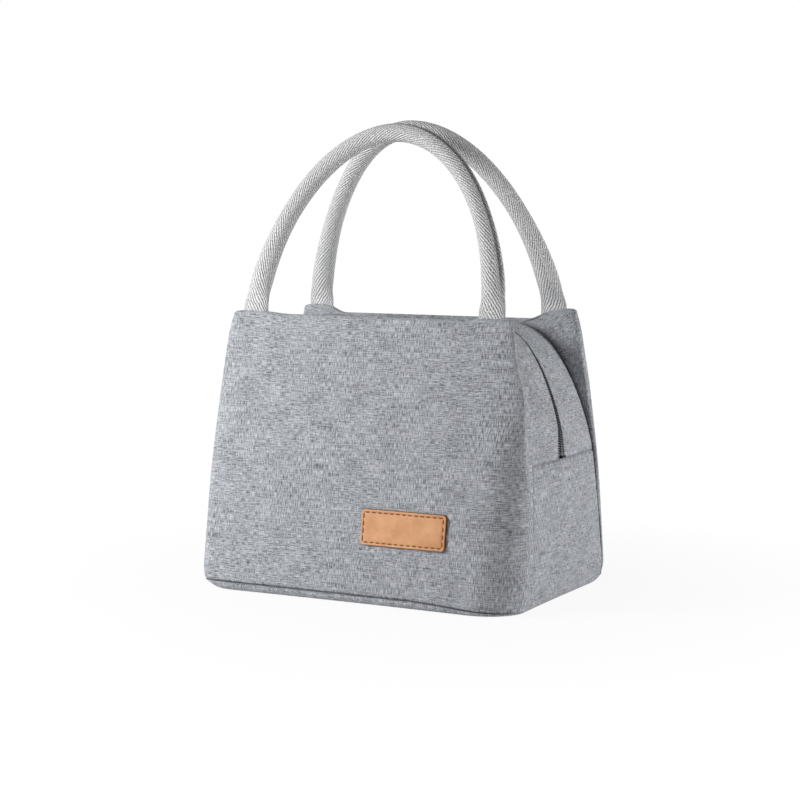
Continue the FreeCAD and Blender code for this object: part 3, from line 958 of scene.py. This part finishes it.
def gusset_lining(side):
    """The inner face of a gusset on the right."""
    z = np.linspace(WALL + FOIL_GAP, FOLD, 20)[:, None]
    near = WALL + corner_depth(z, FRONT[side]["round"]) - half_depth(z)
    far = half_depth(z) - corner_depth(z, BACK[side]["round"]) - WALL
    y = mix(near, far, np.linspace(0, 1, 24)[None, :])
    x = side_face(z) - WALL + SIDE_FOIL_RIPPLE * ripple(y, z, seed=3.3)
    return vectors(x, y, z)


def bottom_lining():
    """Rings over the floor of the bag."""
    outline = base_outline()
    outline = outline * (1 - WALL / np.linalg.norm(outline, axis=1, keepdims=True))
    level = np.full((len(outline), 1), WALL)
    return np.stack([np.concatenate([outline * share, level], axis=1) for share in np.linspace(1, 0.3, 10)])


def lining_piece(name, points, wrap=False):
    Grid(points, points[..., :2]).piece(name, FOIL, "lining", wrap, cap=wrap)


lining_piece("front_lining", wall_lining(FRONT, seed=1.1)[:, ::-1])
lining_piece("back_lining", to_back(wall_lining(BACK, seed=2.2))[:, ::-1])
lining_piece("front_strip_lining_foil", strip_lining())
lining_piece("back_strip_lining_foil", to_back(strip_lining()))
lining_piece("right_gusset_foil", gusset_lining("right")[:, ::-1])
lining_piece("left_gusset_foil", gusset_lining("left") * [-1, 1, 1])
lining_piece("bottom_foil", bottom_lining(), wrap=True)


# Zip

TAPE_START = 0.4
TAPE_EDGES = [TAPE_OUTER, -9.0, -6.0, -0.7]
TAPE_DEPTH = -0.1
TAPE_THICKNESS = 0.6
COIL_DEPTH = 0.2
COIL_PITCH = 1.5
COIL_OUTER = 2.8
TOOTH_HALF_WIDTH = 0.52
TOOTH_HALF_DEPTH = 1.05
TOOTH_CLEAR = 0.6
CLOSED_TIP = 0.35
OPEN_TIP = -0.7
SLIDER_RUN = 66.0
SLIDER_CLEAR = 13.2
STOP_CLEAR = 2.9


def along_strip(length, depth):
    """Points on the strip at lengths from the right fold, at a depth below the underside of its lips. On the
    left they keep the height the slider runs at."""
    path_x, path_z, angle, run = whole_path()
    at = np.interp(length, run, angle)
    lift = band_lift(length) - depth
    x = np.interp(length, run, path_x) + lift * np.cos(at)
    return x, np.interp(length, run, path_z) + lift * np.sin(at)


def zip_tape():
    """The front tape, once round its section, and its place on the flat tape."""
    total = whole_path()[3][-1]
    length = np.linspace(TAPE_START, total - SLIDER_CLEAR, 150)[:, None]
    y = np.array(TAPE_EDGES + TAPE_EDGES[::-1] + TAPE_EDGES[:1])[None, :]
    low = np.array([0, 0, 0, 0, 1, 1, 1, 1, 0])[None, :]
    x, z = along_strip(length + 0 * y, TAPE_DEPTH + TAPE_THICKNESS * low)
    return vectors(x, y, z), vectors(y, length)


def coil_teeth(shift):
    """One row of the coil's turns, each a rounded loop across the tape's edge. They reach into each other,
    but are parted where the slider runs."""
    total = whole_path()[3][-1]
    starts = np.arange(STOP_CLEAR + TOOTH_CLEAR + shift, total - SLIDER_CLEAR - TOOTH_CLEAR, COIL_PITCH)
    reach = np.array([0, 0.1, 0.38, 0.67, 0.89, 1.0])[:, None]
    size = np.array([0.35, 0.85, 1.0, 1.0, 0.65, 0.3])[:, None]
    teeth = []
    for start in starts:
        tip = OPEN_TIP if total - start < SLIDER_RUN else CLOSED_TIP
        along = start + TOOTH_HALF_WIDTH * size * np.cos(TUBE_TURNS)
        depth = COIL_DEPTH + TOOTH_HALF_DEPTH * size * np.sin(TUBE_TURNS)
        x, z = along_strip(along, depth)
        teeth.append(vectors(x, mix(-COIL_OUTER, tip, reach), z))
    return teeth


def rounded_copy(node, name, width, material):
    """A copy of a hard solid with its edges eased."""
    piece = bpy.data.objects.new(name, bpy.data.objects[node].data.copy())
    bpy.context.scene.collection.objects.link(piece)
    ease = piece.modifiers.new("edges", "BEVEL")
    ease.width = width * MM
    ease.segments = 3
    ease.limit_method = "ANGLE"
    eased = piece.evaluated_get(bpy.context.evaluated_depsgraph_get())
    mesh = bpy.data.meshes.new_from_object(eased)
    piece.modifiers.clear()
    piece.data = mesh
    mesh.shade_smooth()
    mesh.materials.clear()
    mesh.materials.append(material)
    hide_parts(node)
    return piece


tape_points, tape_places = zip_tape()
Grid(tape_points, tape_places).piece("front_tape", TAPE, "zip_tape", wrap=True)
Grid(to_back(tape_points), tape_places).piece("back_tape", TAPE, "zip_tape", wrap=True)
tubes_piece("front_coil", coil_teeth(0), NYLON)
tubes_piece("back_coil", [tooth * [1, -1, 1] for tooth in coil_teeth(COIL_PITCH / 2)], NYLON)


# Label

LABEL_X = 35.3
LABEL_Z = 47.7
LABEL_HALF_X = 29.2
LABEL_HALF_Z = 11.0
LABEL_CORNER = 2.5
LABEL_LEAST_CORNER = 0.6
LABEL_STEPS = (40, 14)
STITCH_INSET = 1.9
STITCH_LENGTH = 2.9
STITCH_GAP = 1.4
STITCH_HEIGHT = 1.35
STITCH_THREAD = 0.42

# The label's section: the inset from its cut edge, the height over the cloth, and how dark it is: painted
# shade on the cut edge, and a little darker in the groove under the stitches
LABEL_SECTION = [(0, -0.4, 1), (0, 0.9, 1), (0.15, 1.25, 0.6), (0.4, 1.5, 0), (0.8, 1.6, 0), (1.3, 1.55, 0),
                 (1.6, 1.4, 0.1), (1.9, 1.3, 0.2), (2.2, 1.4, 0.1), (2.6, 1.55, 0), (4.0, 1.6, 0),
                 (6.0, 1.62, 0), (8.0, 1.63, 0)]


def rounded_rectangle(half_x, half_y, radius):
    """Points round a rounded rectangle, once round, with the first point again at the end."""
    signs = np.array([(1, -1), (1, 1), (-1, 1), (-1, -1)])
    centres = signs * [half_x - radius, half_y - radius]
    points = []
    for number, centre in enumerate(centres):
        turns = np.radians(90 * number - 90 + np.linspace(0, 90, 6))
        corner = centre + radius * vectors(np.cos(turns), np.sin(turns))
        shares = np.linspace(0, 1, LABEL_STEPS[(number + 1) % 2] + 1)[1:-1, None]
        points += [corner, corner[-1] + (centres[(number + 1) % 4] - centre) * shares]
    return np.concatenate(points + [points[0][:1]])


def on_front(x, z, height):
    """Points that stand off the front panel's face."""
    return vectors(x, -half_depth(z) - swell(x, z, FRONT["seed"]) - height, z)


def label():
    """Rings from the label's cut edge inwards, with a shallow groove under the stitches and painted shade on
    the edge.
    """
    rings, ring_shade = [], []
    for inset, height, dark in LABEL_SECTION:
        corner = max(LABEL_CORNER - inset, LABEL_LEAST_CORNER)
        ring = rounded_rectangle(LABEL_HALF_X - inset, LABEL_HALF_Z - inset, corner)
        rings.append(on_front(ring[:, 0] + LABEL_X, ring[:, 1] + LABEL_Z, height))
        ring_shade.append(dark + 0 * ring[:, 0])
    points = np.stack(rings)
    return Grid(points, points[..., [0, 2]], np.stack(ring_shade))


def stitch(start, end):
    """A short raised thread between two places on the front, as six rings."""
    shares = np.array([0, 0.06, 0.25, 0.75, 0.94, 1])[:, None]
    size = STITCH_THREAD * np.array([0.15, 0.7, 1, 1, 0.7, 0.15])[:, None]
    rise = STITCH_THREAD * np.array([-0.5, -0.1, 0.1, 0.1, -0.1, -0.5])[:, None]
    run = end - start
    side = np.array([-run[1], run[0]]) / np.linalg.norm(run)
    centre = start + shares * run
    place = centre[:, None, :] + (size * np.cos(TUBE_TURNS))[..., None] * side
    return on_front(place[..., 0], place[..., 1], STITCH_HEIGHT + rise + size * np.sin(TUBE_TURNS))


def label_stitches():
    """Stitches along the four sides of the label."""
    reach = np.array([LABEL_HALF_X - STITCH_INSET, LABEL_HALF_Z - STITCH_INSET])
    corners = [reach * signs + [LABEL_X, LABEL_Z] for signs in ((-1, -1), (1, -1), (1, 1), (-1, 1))]
    stitches = []
    for start, end in zip(corners, corners[1:] + corners[:1]):
        count = round(np.linalg.norm(end - start) / (STITCH_LENGTH + STITCH_GAP))
        step = (end - start) / count
        inset = step * STITCH_GAP / (STITCH_LENGTH + STITCH_GAP) / 2
        for number in range(count):
            stitches.append(stitch(start + step * number + inset, start + step * (number + 1) - inset))
    return stitches


label().piece("leather_label", LEATHER, "leather", wrap=True, cap=True)
tubes_piece("label_stitches", label_stitches(), THREAD)


# Handles

HANDLE_ROUND = 5.9
HANDLE_ROWS = 230
HANDLE_PIVOT_DEPTH = 3.0
HANDLE_LIFT = 2.8
TAIL = 12.0
FOOT_LENGTH = 20.0
FOOT_THICKNESS = 3.4
FLARE = 2.0
FLARE_LENGTH = 70.0
FOOT_SPREAD = 1.0
SPREAD_LENGTH = 10.0
TILT_RANGE = (-2.0, 6.0)

# The join of the sleeve's edges: where it lies round the handle, where it starts and fades out along it, the
# depth and half-angle of its groove and of its painted shade, and the welt beside it
HANDLE_JOIN = math.radians(28)
JOIN_START_RANGE = (4.0, 26.0)
JOIN_END_RANGE = (130.0, 210.0)
JOIN_DEPTH = 0.9
JOIN_ANGLE = 0.23
WELT = 0.3
WELT_PLACE = 0.35
WELT_ANGLE = 0.15

# The arches: where the feet stand, how high the top is, how full each half is (less is rounder), how far the
# top has moved to the right, and how far the plane of the arch leans in
FRONT_ARCH = dict(left=85.5, right=81.8, rise=115.3, left_power=1.15, right_power=1.15, shift=-1.6,
                  lean=math.radians(17))
BACK_ARCH = dict(left=86.1, right=85.3, rise=115.0, left_power=1.6, right_power=1.17, shift=-7.2,
                 lean=math.radians(11))

# The front handle's feet bend at the hem. The back handle's are the mirror image.
HEM = HEIGHT - FRONT["sag"] * (1 - (HANDLE_HALF_SPAN / half_width(HEIGHT)) ** 2)
PIVOT = np.array([0, HANDLE_PIVOT_DEPTH - half_depth(HEM), HEM + HANDLE_LIFT])


def handle_line(arch):
    """The arch in its own plane from the right foot to the left: x, height, heading, length from the foot."""
    turn = np.linspace(0, math.pi, 4000)
    to_right = turn < math.pi / 2
    power = np.where(to_right, arch["right_power"], arch["left_power"])
    span = np.where(to_right, arch["right"], arch["left"])
    rise = np.sin(turn) ** power
    x = np.concatenate([[arch["right"]], span * np.cos(turn) + arch["shift"] * rise, [-arch["left"]]])
    h = np.concatenate([[-TAIL], arch["rise"] * rise, [-TAIL]])
    run = run_length(vectors(x, h)) - TAIL
    length = np.linspace(-TAIL, run[-1], HANDLE_ROWS)
    x = np.interp(length, run, x)
    h = np.interp(length, run, h)
    angle = np.arctan2(-np.gradient(x), np.gradient(h))
    return x, h, angle, length


def handle(arch):
    """The sleeve of the front handle: round over the rope, flat at the feet, with a join along one side and
    painted shade along it.
    """
    x, h, angle, length = handle_line(arch)
    from_foot = np.minimum(length, length[-1] - TAIL - length)
    flare = FLARE * (1 - smooth(0, FLARE_LENGTH, from_foot))
    spread = FOOT_SPREAD * (1 - smooth(0, SPREAD_LENGTH, from_foot))
    wide = HANDLE_ROUND + flare + spread
    thick = mix(HANDLE_ROUND, FOOT_THICKNESS / 2, 1 - smooth(0, FOOT_LENGTH, from_foot))
    around = np.linspace(0, 2 * math.pi, 65)
    turns = around + HANDLE_JOIN
    from_join = np.minimum(around, 2 * math.pi - around)
    joined = (smooth(*JOIN_START_RANGE, length) * (1 - smooth(*JOIN_END_RANGE, length)))[:, None]
    # painted shade along the join, which also sets the depth of its groove
    dark = joined * bell(from_join, JOIN_ANGLE)
    welt = WELT * joined * bell(from_join - WELT_PLACE, WELT_ANGLE)
    push = 1 - (JOIN_DEPTH * dark - welt) / HANDLE_ROUND
    outward = wide[:, None] * np.cos(turns) * push
    forward = thick[:, None] * np.sin(turns) * push
    across = x[:, None] + np.cos(angle)[:, None] * outward
    height = h[:, None] + np.sin(angle)[:, None] * outward
    tilt = arch["lean"] * smooth(*TILT_RANGE, height)
    y = height * np.sin(tilt) - forward * np.cos(tilt)
    z = height * np.cos(tilt) + forward * np.sin(tilt)
    weave = vectors(around * HANDLE_ROUND, length[:, None])
    return Grid(vectors(across, y, z) + PIVOT, weave, dark)


handle(FRONT_ARCH).piece("front_handle_webbing", WEBBING, "webbing", wrap=True)
handle(BACK_ARCH).mirrored(1, weave_shift=0).piece("back_handle_webbing", WEBBING, "webbing", wrap=True)


# Which solids each piece stands for, and what the sides, bottom, label, slider, pull and end stops ride on

FLAP_KINDS = ("_panel", "_strip", "_lining", "_strip_lining_foil", "_tape", "_coil", "_handle_webbing")

for side, y_sign in (("front", 1), ("back", -1)):
    cloth, band, lining, band_lining, tape, coil, sleeve = [pieces[side + kind] for kind in FLAP_KINDS]
    for piece in (cloth, band, lining, band_lining, tape, coil):
        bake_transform(piece)
    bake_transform(sleeve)
    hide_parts(side + "_panel_lower", side + "_panel_upper",
                side + "_foam_lower", side + "_foam_upper")
    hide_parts(side + "_zip_strip", side + "_strip_foam")
    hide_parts(side + "_lining_lower", side + "_lining_upper")
    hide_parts(side + "_strip_lining")
    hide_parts(side + "_zip_tape")
    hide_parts(side + "_zip_coil")
    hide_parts(side + "_handle_sleeve", side + "_handle_rope", side + "_handle_tabs")

for side in ("left", "right"):
    cloth = pieces[side + "_gusset_cloth"]
    lining = pieces[side + "_gusset_foil"]
    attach(cloth, "base")
    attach(lining, "base")
    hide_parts(side + "_gusset", side + "_gusset_foam")
    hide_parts(side + "_gusset_lining")

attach(pieces["bottom_cloth"], "base")
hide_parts("bottom_panel", "bottom_foam")
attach(pieces["bottom_foil"], "base")
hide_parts("bottom_lining")
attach(pieces["leather_label"], "base")
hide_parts("label")
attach(pieces["label_stitches"], "base")

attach(rounded_copy("zip_slider", "slider_body", 0.25, NICKEL), "slider")
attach(rounded_copy("zip_pull", "slider_pull", 0.3, NICKEL), "pull")
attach(rounded_copy("zip_end_stops", "end_stops", 0.2, NYLON), "base")


# Stage and light, in metres and watts

FLOOR_HALF = 4.0
FLOOR_DROP = 0.0005
FLOOR_GLOW = 1.02
SHADOW_RANGE = (0.12, 0.4)
NEAR_GLOW = 0.9
AMBIENT = 0.12
LIGHT_TARGET = (0, 0, 0.1)


def stage_floor():
    """A floor that the camera sees as white, with a faint shadow near the bag."""
    mesh = bpy.data.meshes.new("floor")
    corners = [(x * FLOOR_HALF, y * FLOOR_HALF, 0) for x, y in ((-1, -1), (1, -1), (1, 1), (-1, 1))]
    mesh.from_pydata(corners, [], [(0, 1, 2, 3)])
    floor = bpy.data.objects.new("floor", mesh)
    bpy.context.scene.collection.objects.link(floor)
    floor.location.z = -FLOOR_DROP
    look = Finish("pale_floor", Roughness=1.0, Base_Color=(0.8, 0.8, 0.8, 1))
    glow = look.add("Emission", {"Color": (1, 1, 1, 1), "Strength": FLOOR_GLOW})
    away = look.add("VectorMath", {0: look.place()}, "Value", operation="LENGTH")
    share = look.seen() * look.stretch(away, *SHADOW_RANGE, NEAR_GLOW)
    matt = Value(look, look.shader.outputs[0])
    mixed = look.add("MixShader", {0: share, 1: matt, 2: glow})
    look.link(mixed, look.tree.nodes["Material Output"].inputs[0])
    mesh.materials.append(look.material)


def white_world():
    """Surroundings that the camera sees as white and that light the bag only a little."""
    world = bpy.data.worlds.new("studio")
    world.use_nodes = True
    bpy.context.scene.world = world
    nodes = Nodes(world.node_tree)
    background = nodes.tree.nodes["Background"]
    background.inputs["Color"].default_value = (1, 1, 1, 1)
    nodes.link(nodes.stretch(nodes.seen(), 0.0, 1.0, AMBIENT), background.inputs["Strength"])


def softbox(name, place, size, power):
    """A round lamp that faces the bag."""
    lamp = bpy.data.lights.new(name, "AREA")
    lamp.shape = "DISK"
    lamp.size = size
    lamp.energy = power
    light = bpy.data.objects.new(name, lamp)
    bpy.context.scene.collection.objects.link(light)
    light.location = place
    light.rotation_euler = (Vector(LIGHT_TARGET) - Vector(place)).to_track_quat("-Z", "Y").to_euler()


stage_floor()
white_world()
softbox("key_left", (-0.57, -0.55, 0.46), size=0.4, power=6.3)
softbox("fill_right", (1.16, 0.36, 0.16), size=0.3, power=7.25)


# Camera

AZIMUTH = math.radians(28.15)
ELEVATION = math.radians(5.9)
DISTANCE = 1289.0
FOCUS_PIXELS = 2000.0
IMAGE_PIXELS = 800.0
SENSOR = 36.0
TARGET_HEIGHT = 90.0
SHIFT_RIGHT = -3.2
SHIFT_UP = 29.1

right = Vector((math.cos(AZIMUTH), math.sin(AZIMUTH), 0))
back = Vector((math.sin(AZIMUTH) * math.cos(ELEVATION),
               -math.cos(AZIMUTH) * math.cos(ELEVATION),
               math.sin(ELEVATION)))
up = back.cross(right)
target = Vector((0, 0, TARGET_HEIGHT)) + SHIFT_RIGHT * right + SHIFT_UP * up
lens = bpy.data.cameras.new("camera")
lens.sensor_width = SENSOR
lens.lens = FOCUS_PIXELS / IMAGE_PIXELS * SENSOR
lens.clip_start = 0.05
lens.clip_end = 20
camera = bpy.data.objects.new("camera", lens)
bpy.context.scene.collection.objects.link(camera)
axes = Matrix((right, up, back)).transposed().to_4x4()
camera.matrix_world = Matrix.Translation((target + DISTANCE * back) * MM) @ axes
bpy.context.scene.camera = camera
bpy.context.scene.view_settings.view_transform = "Standard"
